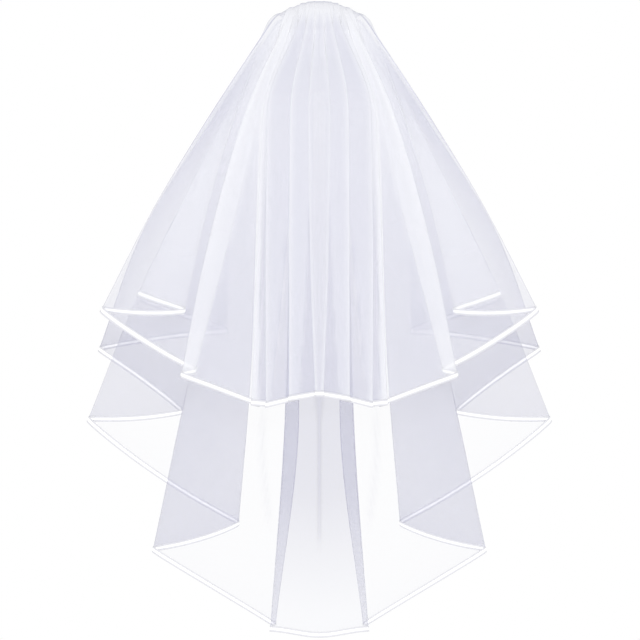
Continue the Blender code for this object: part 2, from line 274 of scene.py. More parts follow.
def fall_rows(line, drops):
    """Points down the fall: a row for each row of drops below the band, a column for each line."""
    across, depth = [], []
    for i, hem in enumerate(line["drop"]):
        places = [line[field][i] for field in ("top_x", "shoulder_x", "waist_x", "hem_x")]
        across.append(monotone([0, SHOULDER_DROP, WAIST_SHARE * hem, hem], places, drops[:, i]))
        places = [line[field][i] for field in ("top_y", "shoulder_y", "hem_y")]
        depth.append(monotone([0, SHOULDER_DROP, hem], places, drops[:, i]))
    return np.stack([np.array(across).T, np.array(depth).T, BAND_TOP - drops], axis=2)


def roll_rows(line):
    """Rows of points up from the band and over, to where the fall begins."""
    top, below = fall_rows(line, np.outer((0.0, 1.0), np.ones_like(line["drop"])))
    reach = (line["crest"] * 4 / 3)[:, None]
    height = np.full_like(line["seam_x"], BAND_TOP + SEAM_LIFT)
    seam = np.stack([line["seam_x"], line["seam_y"], height], axis=1)
    up, over = seam + reach * np.array([0, 0, 1]), top + reach * (top - below)
    steps = (np.arange(ROLL_ROWS) / ROLL_ROWS)[:, None, None]
    return (
        (1 - steps) ** 3 * seam
        + 3 * steps * (1 - steps) ** 2 * up
        + 3 * steps**2 * (1 - steps) * over
        + steps**3 * top
    )


def tier_surface(line):
    """Smooth middle surface of half a tier, with its last two rows the ribbon's own."""
    shares = np.arange(FALL_ROWS) / FALL_ROWS
    inside = line["drop"] - RIBBON_WIDTH
    drops = np.concatenate([shares[:, None] * inside, [inside], [line["drop"]]])
    return np.concatenate([roll_rows(line), fall_rows(line, drops)])


print("rows in each tier:", tier_surface(grain_lines(UPPER_TIER)).shape[0])

# %% [markdown]
# ## Gathers
# Sewing a long edge into a short band throws it into many fine gathers, which die out one after
# another on the way down. Each family of gathers here is a wave along the flat cut, so it widens
# as the folds fan out. A gather may stand out only by a share of its own width, as real cloth does.

# %% Add the gathers to a surface
# One row for each family, in millimetres of flat cloth: width of a gather, height at its
# strongest, and the drop by which it has died out.
Gather = namedtuple("Gather", "width height fades_at")
GATHERS = [Gather(31.0, 0.7, 110.0), Gather(53.0, 1.2, 260.0), Gather(97.0, 2.4, 900.0)]
GATHER_LIMIT = 0.09  # most that a gather stands out, as a share of its own width
NARROWEST, FULL_GATHER = 5.0, 14.0  # a gather narrower than the first is pressed flat
SEAM_HOLD = 90.0  # millimetres from the seam in which the gathers rise to their height
SWAY, SWAY_RATE = 0.35, 1.7  # how far gathers drift along the cloth, and how fast that turns
MEAN_HEIGHT, UNEVEN, UNEVEN_RATE = 0.75, 0.25, 0.9  # some gathers are lower than others
FADE_POWER = 0.7  # below 1, a gather keeps its height for longer on its way down
FULL_WAVE = 1.5  # wave in the table of folds that gives the gathers their full height


def surface_normals(grid):
    """Unit normal at each point of a grid of rows, from its neighbours."""
    along = np.gradient(grid, axis=1)
    down = np.gradient(grid, axis=0)
    along[:, 0] = along[:, 0] * np.array([1, 0, 0])  # the centre line runs straight across
    normals = np.cross(along, down)
    return normals / np.linalg.norm(normals, axis=2, keepdims=True)


def lengths_down(grid):
    """Distance from the seam down each grain line, at each point."""
    steps = np.linalg.norm(np.diff(grid, axis=0), axis=2)
    return np.concatenate([np.zeros((1, grid.shape[1])), np.cumsum(steps, axis=0)])


def gather_height(grid, line):
    """How far the gathers push each point out, and how deep in their valleys it lies."""
    flat = line["flat"]
    flat_step = np.gradient(flat)
    real_step = np.linalg.norm(np.gradient(grid, axis=1), axis=2)
    crowding = real_step / flat_step
    below = np.maximum(BAND_TOP - grid[:, :, 2], 0.0)
    rise = 1 - np.exp(-((lengths_down(grid) / SEAM_HOLD) ** 2))
    total = np.zeros(grid.shape[:2])
    valley = np.zeros(grid.shape[:2])
    for number, gather in enumerate(GATHERS):
        sway = SWAY * np.sin(flat / gather.width * SWAY_RATE + number)
        phase = 2 * pi * (flat / gather.width + sway)
        uneven = np.sin(flat / gather.width * UNEVEN_RATE + 2.0 * number)
        strength = MEAN_HEIGHT + UNEVEN * uneven
        width = gather.width * crowding
        height = np.minimum(gather.height, GATHER_LIMIT * width)
        fade = np.clip(1 - below / gather.fades_at, 0, 1) ** FADE_POWER
        fade = fade * np.clip((width - NARROWEST) / (FULL_GATHER - NARROWEST), 0, 1)
        total += height * strength * fade * np.sin(phase)
        valley += strength * fade * (0.5 - 0.5 * np.sin(phase)) / len(GATHERS)
    hold = np.minimum(line["wave"] / FULL_WAVE, 1.0)
    down = np.clip(below / SHOULDER_DROP, 0, 1)
    held = rise * (1 + (hold - 1) * down)
    return total * held, valley * held


longer_hem = 2 * grain_lines(LOWER_TIER)["flat"][-1]
print("gathers across the longer tier:", round(longer_hem / GATHERS[0].width))

# %% [markdown]
# ## Pressed creases
# The longer tier has one more pleat, only a few millimetres wide, that runs down its middle and
# opens out before the hem. Beside the centre panel a softer crease bends in towards the fold. Both
# are narrow valleys in the cloth, too slight for folds of their own in the table.

# %% Creases of the longer tier
TUCK_DEPTH = 9.0
TUCK_WIDTH = 2.4
TUCK_SPREAD = 1.3  # how much wider the tuck is at its top
TUCK_WIDE_TO = 490.0  # drop down to which it is wider
TUCK_NARROWS = 20.0  # length over which it narrows above that
TUCK_STARTS = 380.0
TUCK_SINKS = 80.0  # length over which it sinks in
TUCK_ENDS = 645.0
TUCK_FADE = 9.0  # length over which it opens out
CREASE_DEPTH = 3.0
CREASE_SPREAD = 5.0
CREASE_SINKS, CREASE_FADE = 60.0, 25.0  # lengths over which it sinks in and opens out
CREASE_DROPS = (440.0, 480.0, 526.0, 587.0, 632.0)  # levels of the soft crease
CREASE_PLACES = (67.0, 69.5, 70.7, 65.8, 59.0)  # its distance from the middle at each
CREASE_SHEET = 2  # the stretch that it runs down, counted in folds from the centre


def tuck_share(grid):
    """How strongly the centre tuck is pressed in at each point, from 0 to 1."""
    drop = BAND_TOP - grid[:, :, 2]
    starts = np.clip((drop - TUCK_STARTS) / TUCK_SINKS, 0, 1)
    ends = np.clip((TUCK_ENDS - drop) / TUCK_FADE, 0, 1)
    wider = np.clip((TUCK_WIDE_TO - drop) / TUCK_NARROWS, 0, 1)
    across = np.exp(-((grid[:, :, 0] / (TUCK_WIDTH * (1 + TUCK_SPREAD * wider))) ** 4))
    return starts * ends * across


def soft_crease_share(grid, line):
    """How strongly the soft crease beside the centre panel is pressed in, from 0 to 1."""
    drop = BAND_TOP - grid[:, :, 2]
    middle = monotone(CREASE_DROPS, CREASE_PLACES, np.clip(drop, CREASE_DROPS[0], CREASE_DROPS[-1]))
    across = np.exp(-(((grid[:, :, 0] - middle) / CREASE_SPREAD) ** 2))
    starts = np.clip((drop - CREASE_DROPS[0]) / CREASE_SINKS, 0, 1)
    ends = np.clip((CREASE_DROPS[-1] - drop) / CREASE_FADE, 0, 1)
    return starts * ends * across * (line["cell"] == CREASE_SHEET)


print("the tuck is", TUCK_ENDS - TUCK_STARTS, "mm long")

# %% [markdown]
# ## Where the cloth turns back
# Seen from behind, the edge of a fold is a thin dense line, because there the net is looked at
# along its own sheet. So is the top of the roll. A wall without holes doesn't do that by itself, so
# each point is told how near it lies to such a line, measured along the cloth. There the net gets
# extra cover, and the line's darkness is painted shade.

# %% Find the dense lines
FOLD_LINE = 1.2  # half-width of the dense line where the cloth turns back, in millimetres
CREST_LINE = 1.3  # height of the dense line along the top of the roll, in millimetres
LINE_FADE = 90.0  # drop over which the dense lines grow, from where the shade is full


def turn_share(grid, line, numbers, half_width):
    """How near each point is to the turning lines of some folds, from 0 to 1."""
    steps = np.linalg.norm(np.diff(grid, axis=1), axis=2)
    along = np.concatenate([np.zeros((grid.shape[0], 1)), np.cumsum(steps, axis=1)], axis=1)
    share = np.zeros(grid.shape[:2])
    for number in numbers:
        turn = along[:, np.searchsorted(line["at"], number)][:, None]
        share = np.maximum(share, np.exp(-(((along - turn) / half_width) ** 2)))
    return share


def outermost_fold(folds):
    """Number of the fold that gives the tier its outline, seen from behind."""
    return max(range(len(folds)), key=lambda number: folds[number].shoulder_x)


def crest_share(grid):
    """How near each point is to the top of the roll, from 0 to 1."""
    return np.exp(-(((grid[:, :, 2].max(axis=0) - grid[:, :, 2]) / CREST_LINE) ** 2))


def dense_shaded_lines(tier, grid, line):
    """Strength of the dense lines at the folds and the crest, from 0 to 1: extra cover and painted
    shade.
    """
    folds = tier.folds
    below = np.clip((BAND_TOP - grid[:, :, 2] - tier.dim_by) / LINE_FADE, 0, 1)
    all_turns = turn_share(grid, line, range(1, len(folds) - 1), FOLD_LINE)
    outline = turn_share(grid, line, [outermost_fold(folds)], FOLD_LINE)
    return np.maximum(np.maximum(tier.line * all_turns * below, outline), crest_share(grid))


for tier in (LOWER_TIER, UPPER_TIER):
    print(tier.name, "has its outline at its", tier.folds[outermost_fold(tier.folds)].name)

# %% [markdown]
# ## Light and shade in white net
# On white ground, white net shows its form by small differences of tone alone: the layers in front
# are nearly white, and the pleats behind them lie in a cool shade. So sheer a net hardly shades
# itself in a render, so the table says how deep in shadow each stretch lies. Here that is spread
# over the cloth, paler where a pleat lies behind it, and deeper in the valleys of the gathers.

# %% Work out the shade
# The next three are painted shade: along the dense lines, in the centre tuck and in the soft
# crease.
FOLD_LINE_SHADE = 0.55
TUCK_SHADE = 0.6
SOFT_CREASE_SHADE = 0.4
VALLEY_SHADE = 0.17  # shade added at the bottom of a gather
RIM_SHADE = 0.34  # shade added along the shorter tier's outermost fold
RIM_WIDTH = 27.0  # how far along the cloth it reaches, in millimetres
EDGE_LIGHT = 5.0  # half-width of the painted highlight along a pleat's outer edge, in millimetres
BACKING_EDGE = 2.0  # width over which the cloth turns paler where its pleat lies behind
PLEATS_PART, PLEATS_APART = 100.0, 240.0  # drops between which the pleats draw apart
HEM_LIGHT = 0.85  # share of its shade that the centre panel loses where it opens at the hem
HEM_LIGHT_FROM, HEM_LIGHT_TO = 0.77, 0.97  # where it does so, as shares of the drop


def backed_share(grid, line, folds):
    """How far each point lies over its own stretch's pleat, from 0 to 1."""
    share = np.zeros(grid.shape[:2])
    for number in range(0, len(folds) - 2, 2):
        start = np.searchsorted(line["at"], number)
        tuck = np.searchsorted(line["at"], number + 2)
        stop = np.searchsorted(line["at"], number + 1)
        past = grid[:, start:stop, 0] - grid[:, tuck, 0][:, None]
        share[:, start:stop] = np.clip(past / BACKING_EDGE + 0.5, 0, 1)
    return share


def shade_of(tier, grid, line, valley, crease_shade):
    """How deep in shadow each point lies, from 0 to 1."""
    drop = BAND_TOP - grid[:, :, 2]
    backed = backed_share(grid, line, tier.folds)
    apart = np.clip((drop - PLEATS_PART) / (PLEATS_APART - PLEATS_PART), 0, 1)
    bare = (1 - backed) * (1 if tier is LOWER_TIER else apart)
    shade = line["backed"] + (line["shade"] - line["backed"]) * bare
    opened = (drop / line["drop"] - HEM_LIGHT_FROM) / (HEM_LIGHT_TO - HEM_LIGHT_FROM)
    if tier is LOWER_TIER:
        shade = shade * (1 - HEM_LIGHT * np.clip(opened, 0, 1) * (line["cell"] == 0))
    shade = shade * np.clip((drop - tier.dim_from) / (tier.dim_by - tier.dim_from), 0, 1)
    shade += VALLEY_SHADE * valley
    if tier is UPPER_TIER:
        rim = turn_share(grid, line, [outermost_fold(tier.folds)], RIM_WIDTH)
        shade += RIM_SHADE * rim * np.clip(drop / SHOULDER_DROP, 0, 1)
    # painted highlights along the outer edges of the pleats
    painted_edges = range(1, len(tier.folds) - 1, 2)
    shade -= tier.light * turn_share(grid, line, painted_edges, EDGE_LIGHT)
    line_shade = FOLD_LINE_SHADE * dense_shaded_lines(tier, grid, line)
    return np.clip(np.maximum(shade, np.maximum(line_shade, crease_shade)), 0, 1)


for tier in (LOWER_TIER, UPPER_TIER):
    print(tier.name, "has shades up to", max(fold.shade for fold in tier.folds))

# %% [markdown]
# ## How much the net hides
# One layer of tulle hides from a tenth to six tenths of what lies behind it, and more where it is
# gathered, because more of it then lies in the same place. It also looks denser at the dense lines,
# close above the hem and in the creases; in the soft crease that extra cover is painted shade. This
# cell brings a tier's points, their places on the flat cut, their cover and their shade together.

# %% Put together the points of a tier
FOLD_LINE_COVER = 0.30
TUCK_COVER = 0.11
# In the soft crease this extra cover is painted shade.
SOFT_CREASE_COVER = 0.10
HEM_COVER = 0.07  # extra cover close above the hem
HEM_COVER_REACH = 35.0
CROWDING_LIMIT = 6.0
SEAM_CROWDING = 2.5  # the least crowding at the seam, where every stretch is finely gathered
MOST_COVER = 0.98


def tier_points(tier):
    """Points of half a tier and what its cloth is like at each."""
    line = grain_lines(tier)
    smooth = tier_surface(line)
    height, valley = gather_height(smooth, line)
    tuck = np.zeros(smooth.shape[:2])
    soft = np.zeros(smooth.shape[:2])
    if tier is LOWER_TIER:
        tuck = tuck_share(smooth)
        soft = soft_crease_share(smooth, line)
    real_step = np.linalg.norm(np.gradient(smooth, axis=1), axis=2)
    below = np.clip((BAND_TOP - smooth[:, :, 2]) / SHOULDER_DROP, 0, 1)
    least = SEAM_CROWDING + (1 - SEAM_CROWDING) * below
    crowding = np.clip(np.gradient(line["flat"]) / real_step, least, CROWDING_LIMIT)
    cover = 1 - (1 - line["cover"]) ** crowding
    cover += FOLD_LINE_COVER * dense_shaded_lines(tier, smooth, line)
    from_hem = line["drop"] - (BAND_TOP - smooth[:, :, 2])
    cover += HEM_COVER * np.exp(-from_hem / HEM_COVER_REACH)
    cover += TUCK_COVER * tuck + SOFT_CREASE_COVER * soft
    crease_shade = np.maximum(TUCK_SHADE * tuck, SOFT_CREASE_SHADE * soft)
    shade = shade_of(tier, smooth, line, valley, crease_shade)
    grid = smooth + surface_normals(smooth) * height[:, :, None]
    grid[:, :, 1] += TUCK_DEPTH * tuck + CREASE_DEPTH * soft
    flat = np.stack([np.broadcast_to(line["cut"], grid.shape[:2]), lengths_down(grid)], axis=2)
    grid[:, 0, 0] = 0.0
    grid[:, :, 0] *= -1  # the table's places lie to the left, seen from behind
    surface_cover = 1 - np.sqrt(1 - np.clip(cover, 0, MOST_COVER))  # each layer has two surfaces
    return grid * MM, flat * MM, surface_cover, shade


print("points in half the shorter tier:", tier_points(UPPER_TIER)[0][:, :, 0].size)

# %% [markdown]
# ## From points to cloth
# The points become one sheet of quads for half the tier. A Mirror modifier adds the other half and
# Solidify gives it the wall of real tulle, so the finished piece is a thin closed shell. A UV map
# holds each point's place on the flat cut, in metres, so the net's holes keep their size. Two
# attributes say how deep in shadow the cloth lies and how dense its net looks.

# %% Helpers for every piece
MERGE_LIMIT = 0.00005


def select_only(thing):
    """Makes one object the only selected and active one."""
    bpy.ops.object.select_all(action="DESELECT")
    thing.select_set(True)
    bpy.context.view_layer.objects.active = thing


def apply_modifiers(thing):
    """Applies every modifier of an object, in order."""
    select_only(thing)
    for modifier in list(thing.modifiers):
        bpy.ops.object.modifier_apply(modifier=modifier.name)


def add_mirror(thing):
    """Adds the other half of a piece that is made as its left half."""
    mirror = thing.modifiers.new("other_half", "MIRROR")
    mirror.use_axis[0] = True
    mirror.merge_threshold = MERGE_LIMIT


def object_from(name, bm):
    """Makes a mesh object of a bmesh and frees the bmesh."""
    mesh = bpy.data.meshes.new(name)
    bm.to_mesh(mesh)
    bm.free()
    thing = bpy.data.objects.new(name, mesh)
    bpy.context.scene.collection.objects.link(thing)
    return thing


print("halves are joined where their points lie within", MERGE_LIMIT / MM, "mm")

# %% Build both tiers
TULLE_WALL = 0.3


def build_tier(tier):
    """One tulle tier as a thin closed shell. Returns it with the points of its last two rows."""
    grid, flat, cover, shade = tier_points(tier)
    row_count, column_count = grid.shape[:2]
    bm = bmesh.new()
    uv = bm.loops.layers.uv.new("cut")
    cover_layer = bm.verts.layers.float.new("cover")
    shade_layer = bm.verts.layers.float.new("shade")
    rows = [[bm.verts.new(point) for point in row] for row in grid]
    places = {}
    for r in range(row_count):
        for c in range(column_count):
            places[rows[r][c]] = flat[r, c]
            rows[r][c][cover_layer] = cover[r, c]
            rows[r][c][shade_layer] = shade[r, c]
    for r in range(row_count - 1):
        for c in range(column_count - 1):
            face = bm.faces.new((rows[r][c], rows[r][c + 1], rows[r + 1][c + 1], rows[r + 1][c]))
            face.smooth = True
            for loop in face.loops:
                loop[uv].uv = places[loop.vert]
    bm.normal_update()
    hem = [[(vert.co.copy(), vert.normal.copy()) for vert in row] for row in rows[-2:]]
    thing = object_from(tier.name, bm)
    area = 2 * sum(face.area for face in thing.data.polygons)
    add_mirror(thing)
    wall = thing.modifiers.new("tulle_wall", "SOLIDIFY")
    wall.thickness = TULLE_WALL * MM
    wall.offset = 0.0
    apply_modifiers(thing)
    print(tier.name, len(thing.data.polygons), "faces,", round(area, 3), "square metres of cloth")
    return thing, hem


lower_tulle, lower_hem = build_tier(LOWER_TIER)
upper_tulle, upper_hem = build_tier(UPPER_TIER)

# %% [markdown]
# ## The satin ribbon
# The ribbon is folded lengthwise over the raw edge and stitched through. Its section is a narrow U
# whose outer corners are round, swept along the hem's own points.

# %% Fold a ribbon over each hem
RIBBON_WALL = 0.5
RIBBON_CLEAR = 0.3  # from the middle of the tulle to the ribbon's inner face
RIBBON_LIP = 0.9  # from the tulle's edge down to the inside of the fold
ROUND_STEPS = 6  # stretches round the fold
PINCHED, PUFFED = 0.72, 1.06  # its wall at the sewn edge and half-way, as shares of the rest
PINCH_SHARE = 0.06  # share of its height over which the sewn edge is pinched
FOLD_START = 0.3  # how far below the tulle's edge the fold begins to round
INNER_LIP = 0.8  # share of the lip that stays open inside


def ribbon_section():
    """The U of the folded ribbon: share of the way to the hem, outward and downward offset."""
    inner, outer = RIBBON_CLEAR, RIBBON_CLEAR + RIBBON_WALL
    leg = [(0.0, outer * PINCHED, 0.0), (PINCH_SHARE, outer, 0.0), (0.5, outer * PUFFED, 0.0)]
    fold = [(1.0, outer, FOLD_START)]
    for step in range(1, ROUND_STEPS):
        angle = pi * step / ROUND_STEPS
        fold.append((1.0, outer * np.cos(angle), RIBBON_LIP + RIBBON_WALL * np.sin(angle)))
    fold.append((1.0, -outer, FOLD_START))
    back_leg = [(share, -out, drop) for share, out, drop in reversed(leg)]
    lip = RIBBON_LIP * INNER_LIP
    inside = [(0.0, -inner, 0.0), (1.0, -inner, lip), (1.0, inner, lip), (0.0, inner, 0.0)]
    return leg + fold + back_leg, inside


def place_across(section):
    """Distance across the flat ribbon at each point of its outside, in millimetres."""
    outside, inside = section
    points = np.array([(out, share * RIBBON_WIDTH + drop) for share, out, drop in outside])
    steps = np.linalg.norm(np.diff(points, axis=0), axis=1)
    return [0.0] + list(np.cumsum(steps)) + [0.0] * len(inside)


def build_ribbon(name, hem_rows):
    """The folded ribbon along one hem."""
    section = ribbon_section()
    across = place_across(section)
    bm = bmesh.new()
    uv = bm.loops.layers.uv.new("cut")
    rings = []
    places = {}
    run = 0.0
    last = None
    for above, hem in zip(*hem_rows):
        (upper, out_upper), (lower, out_lower) = above, hem
        run += (lower - last).length if last is not None else 0.0
        last = lower
        down = (lower - upper).normalized()
        ring = []
        for (share, out, drop), place in zip(section[0] + section[1], across):
            point = upper.lerp(lower, share) + out_upper.lerp(out_lower, share) * out * MM
            ring.append(bm.verts.new(point + down * drop * MM))
            places[ring[-1]] = (run, place * MM)
        rings.append(ring)
    for vert in rings[0]:
        vert.co.x = 0.0
    for ring, following in zip(rings[:-1], rings[1:]):
        for i in range(len(ring)):
            j = (i + 1) % len(ring)
            bm.faces.new((ring[i], ring[j], following[j], following[i]))
    bm.faces.new(rings[-1])
    bmesh.ops.recalc_face_normals(bm, faces=bm.faces)
    for face in bm.faces:
        face.smooth = True
        for loop in face.loops:
            loop[uv].uv = places[loop.vert]
    thing = object_from(name, bm)
    add_mirror(thing)
    apply_modifiers(thing)
    print(name, "is", round(2 * run, 2), "m long,", len(thing.data.polygons), "faces")
    return thing


RIBBON_FLAT = max(place_across(ribbon_section()))
print("the flat ribbon is", round(RIBBON_FLAT, 1), "mm wide")
lower_ribbon_piece = build_ribbon("lower_satin_edge", lower_hem)
upper_ribbon_piece = build_ribbon("upper_satin_edge", upper_hem)

# %% [markdown]
# ## The gather band
# Both tiers end in a narrow satin band that binds the gathers and is sewn to the comb. A grid as
# wide as the band is extruded to its thickness, its edges are rounded with Bevel, and the ruched
# face is a wave along it. It follows the comb's curve round the head.

# %% Sew the gather band
RUCHE_WIDTH = 2.4  # from one small gather of the band to the next
RUCHE_HEIGHT = 0.25
BAND_ROUNDING = 0.7
BAND_CORNER = 50  # degrees past which an edge of the band is rounded
BAND_COLUMNS, BAND_ROWS = 152, 6  # points for the ruching, along the band and up it


def build_band():
    """The ruched satin band, standing on its long edge."""
    low, high = (np.array(corner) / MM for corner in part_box("gather_band"))
    thick = high[1] - low[1] - comb_curve(high[0])
    height = high[2] - low[2]
    bpy.ops.object.select_all(action="DESELECT")
    bpy.ops.mesh.primitive_grid_add(x_subdivisions=BAND_COLUMNS, y_subdivisions=BAND_ROWS, size=1)
    thing = bpy.context.object
    thing.name = "satin_band"
    bpy.ops.object.mode_set(mode="EDIT")
    bpy.ops.mesh.select_all(action="SELECT")
    bpy.ops.transform.resize(value=((high[0] - low[0]) * MM, height * MM, 1))
    bpy.ops.mesh.extrude_region_move(TRANSFORM_OT_translate={"value": (0, 0, thick * MM)})
    bpy.ops.object.mode_set(mode="OBJECT")
    for vert in thing.data.vertices:
        across, up, depth = (value / MM for value in vert.co)
        bulge = 1 - (2 * up / height) ** 4
        ruche = RUCHE_HEIGHT * np.sin(2 * pi * across / RUCHE_WIDTH) * bulge
        outward = 1 if depth > thick / 2 else -1
        y = low[1] + depth + comb_curve(across) + outward * (ruche - RUCHE_HEIGHT)
        vert.co = Vector((across, y, (low[2] + high[2]) / 2 + up)) * MM
    thing.data.update()
    select_only(thing)
    bpy.ops.object.mode_set(mode="EDIT")
    bpy.ops.mesh.select_all(action="SELECT")
    bpy.ops.mesh.normals_make_consistent(inside=False)
    bpy.ops.object.mode_set(mode="OBJECT")
    bevel = thing.modifiers.new("rounded_edges", "BEVEL")
    bevel.width = BAND_ROUNDING * MM
    bevel.segments = 3
    bevel.limit_method = "ANGLE"
    bevel.angle_limit = radians(BAND_CORNER)
    apply_modifiers(thing)
    bpy.ops.object.shade_smooth()
    places = thing.data.uv_layers[0]
    places.name = "cut"
    for loop in thing.data.loops:
        spot = thing.data.vertices[loop.vertex_index].co
        places.data[loop.index].uv = (spot.x, spot.z - low[2] * MM)
    return thing, height


band_piece, BAND_HEIGHT = build_band()
print("band:", len(band_piece.data.polygons), "faces,", round(BAND_HEIGHT, 1), "mm high")

# %% [markdown]
# ## Tulle
# Tulle is a net of six-sided holes, too fine to model. Three sets of waves at sixty degrees make
# the same pattern on the flat cut. It sets how much of each spot is thread, and so how much shows
# through. The shade attribute mixes in a cool grey: painted shade where layers lie behind others.

# %% Node group for the net
HOLE_SUM, THREAD_SUM = 1.6, -1.2  # the three waves added up, inside a hole and on a thread


def new_group(name, inputs, outputs):
    """A shader node group with float sockets, or vector ones for names that start with 'Place'."""
    group = bpy.data.node_groups.new(name, "ShaderNodeTree")
    for socket in inputs:
        kind = "NodeSocketVector" if socket.startswith("Place") else "NodeSocketFloat"
        group.interface.new_socket(socket, in_out="INPUT", socket_type=kind)
    for socket in outputs:
        group.interface.new_socket(socket, in_out="OUTPUT", socket_type="NodeSocketFloat")
    return group, group.nodes.new("NodeGroupInput"), group.nodes.new("NodeGroupOutput")


def math_node(tree, operation, first, second=None):
    """A Math node fed by sockets or plain numbers. Returns its output."""
    node = tree.nodes.new("ShaderNodeMath")
    node.operation = operation
    for socket, value in zip(node.inputs, (first, second)):
        if isinstance(value, (int, float)):
            socket.default_value = value
        elif value is not None:
            tree.links.new(value, socket)
    return node.outputs[0]


def build_net_group():
    """Hexagonal net: Thread is 1 on the threads and 0 in the holes."""
    group, source, sink = new_group("tulle_net", ["Place", "Holes per metre"], ["Thread"])
    scaled = group.nodes.new("ShaderNodeVectorMath")
    scaled.operation = "SCALE"
    group.links.new(source.outputs["Place"], scaled.inputs[0])
    group.links.new(source.outputs["Holes per metre"], scaled.inputs["Scale"])
    total = None
    for turn in range(3):
        angle = turn * pi / 3
        along = group.nodes.new("ShaderNodeVectorMath")
        along.operation = "DOT_PRODUCT"
        along.inputs[1].default_value = (2 * pi * np.cos(angle), 2 * pi * np.sin(angle), 0)
        group.links.new(scaled.outputs[0], along.inputs[0])
        wave = math_node(group, "COSINE", along.outputs["Value"])
        total = wave if total is None else math_node(group, "ADD", total, wave)
    reach = group.nodes.new("ShaderNodeMapRange")
    reach.inputs["From Min"].default_value = HOLE_SUM
    reach.inputs["From Max"].default_value = THREAD_SUM
    group.links.new(total, reach.inputs["Value"])
    group.links.new(reach.outputs[0], sink.inputs["Thread"])
    return group


net_group = build_net_group()
print("net group sockets:", [item.name for item in net_group.interface.items_tree])

# %% [markdown]
# Both tiers are cut from the same tulle, so they share one material. It is matt, its colour runs
# from lit to shaded by the shade attribute, and its alpha is the cover attribute, a little less in
# the holes of the net and a little more on its threads. Alpha suits so thin a net better than
# glass would: it lets light straight through and bends nothing.

# %% Tulle material
HOLES_PER_METRE = 850.0
NET_THIN, NET_THICK = 0.80, 1.30  # cover in the holes and on the threads, as shares of the mean
TULLE_ROUGHNESS, TULLE_SHINE = 0.9, 0.1
TULLE_LIT = (0.68, 0.685, 0.72, 1.0)
TULLE_SHADED = (0.30, 0.30, 0.425, 1.0)


def new_material(name, roughness):
    """A Principled material. Returns it with its node tree and shader."""
    made = bpy.data.materials.new(name)
    made.use_nodes = True
    shader = made.node_tree.nodes["Principled BSDF"]
    shader.inputs["Roughness"].default_value = roughness
    return made, made.node_tree, shader


def attribute(tree, name):
    """A mesh attribute's value."""
    node = tree.nodes.new("ShaderNodeAttribute")
    node.attribute_name = name
    return node.outputs["Fac"]


def cut_place(tree):
    """The place on the flat cut, in metres."""
    node = tree.nodes.new("ShaderNodeUVMap")
    node.uv_map = "cut"
    return node.outputs["UV"]


def use_group(tree, group, place, value):
    """Places a group that reads a place and one number."""
    node = tree.nodes.new("ShaderNodeGroup")
    node.node_tree = group
    tree.links.new(place, node.inputs[0])
    node.inputs[1].default_value = value
    return node


def tulle_material(name, lit, shaded):
    """Soft net whose colour runs from lit to shaded and whose holes let light through."""
    made, tree, shader = new_material(name, TULLE_ROUGHNESS)
    net = use_group(tree, net_group, cut_place(tree), HOLES_PER_METRE)
    mix = tree.nodes.new("ShaderNodeMix")
    mix.data_type = "RGBA"
    mix.inputs["A"].default_value = lit
    mix.inputs["B"].default_value = shaded
    tree.links.new(attribute(tree, "shade"), mix.inputs["Factor"])
    tree.links.new(mix.outputs["Result"], shader.inputs["Base Color"])
    dense = tree.nodes.new("ShaderNodeMapRange")
    dense.inputs["To Min"].default_value = NET_THIN
    dense.inputs["To Max"].default_value = NET_THICK
    tree.links.new(net.outputs["Thread"], dense.inputs["Value"])
    alpha = math_node(tree, "MULTIPLY", dense.outputs[0], attribute(tree, "cover"))
    tree.links.new(alpha, shader.inputs["Alpha"])
    shader.inputs["Specular IOR Level"].default_value = TULLE_SHINE
    return made


tulle_white = tulle_material("tulle_white", TULLE_LIT, TULLE_SHADED)
print("net holes are", round(1000 / HOLES_PER_METRE, 2), "mm apart")

# %% [markdown]
# ## Satin
# The ribbon and the band are the same white satin: long threads that lie side by side and catch the
# light, a little painted shade along its edges, and a row of small stitches. The weave and the
# stitches are node groups, because both pieces use them with their own values.

# %% Node groups for weave and stitches
STITCH_PITCH = 2.6  # from one stitch to the next
STITCH_SHARE = 0.7  # how much of that is thread
STITCH_THICK = 0.35
THREADS_PER_METRE = 2800.0


def build_weave_group():
    """Satin threads: Height runs from 0 between threads to 1 along their middle."""
    group, source, sink = new_group("satin_weave", ["Place", "Threads per metre"], ["Height"])
    split = group.nodes.new("ShaderNodeSeparateXYZ")
    group.links.new(source.outputs["Place"], split.inputs[0])
    count = math_node(group, "MULTIPLY", split.outputs["Y"], source.outputs["Threads per metre"])
    wave = math_node(group, "SINE", math_node(group, "MULTIPLY", count, 2 * pi))
    half = math_node(group, "MULTIPLY", wave, 0.5)
    group.links.new(math_node(group, "ADD", half, 0.5), sink.inputs["Height"])
    return group


def build_stitch_group():
    """A row of stitches along one line of the cut: Stitch is 1 on the thread."""
    group, source, sink = new_group("stitch_row", ["Place", "Row"], ["Stitch"])
    split = group.nodes.new("ShaderNodeSeparateXYZ")
    group.links.new(source.outputs["Place"], split.inputs[0])
    gap = math_node(group, "SUBTRACT", split.outputs["Y"], source.outputs["Row"])
    on_row = math_node(group, "LESS_THAN", math_node(group, "ABSOLUTE", gap), STITCH_THICK / 2 * MM)
    count = math_node(group, "DIVIDE", split.outputs["X"], STITCH_PITCH * MM)
    on_thread = math_node(group, "LESS_THAN", math_node(group, "FRACT", count), STITCH_SHARE)
    group.links.new(math_node(group, "MULTIPLY", on_row, on_thread), sink.inputs["Stitch"])
    return group


weave_group = build_weave_group()
stitch_group = build_stitch_group()
print("groups:", weave_group.name, stitch_group.name)
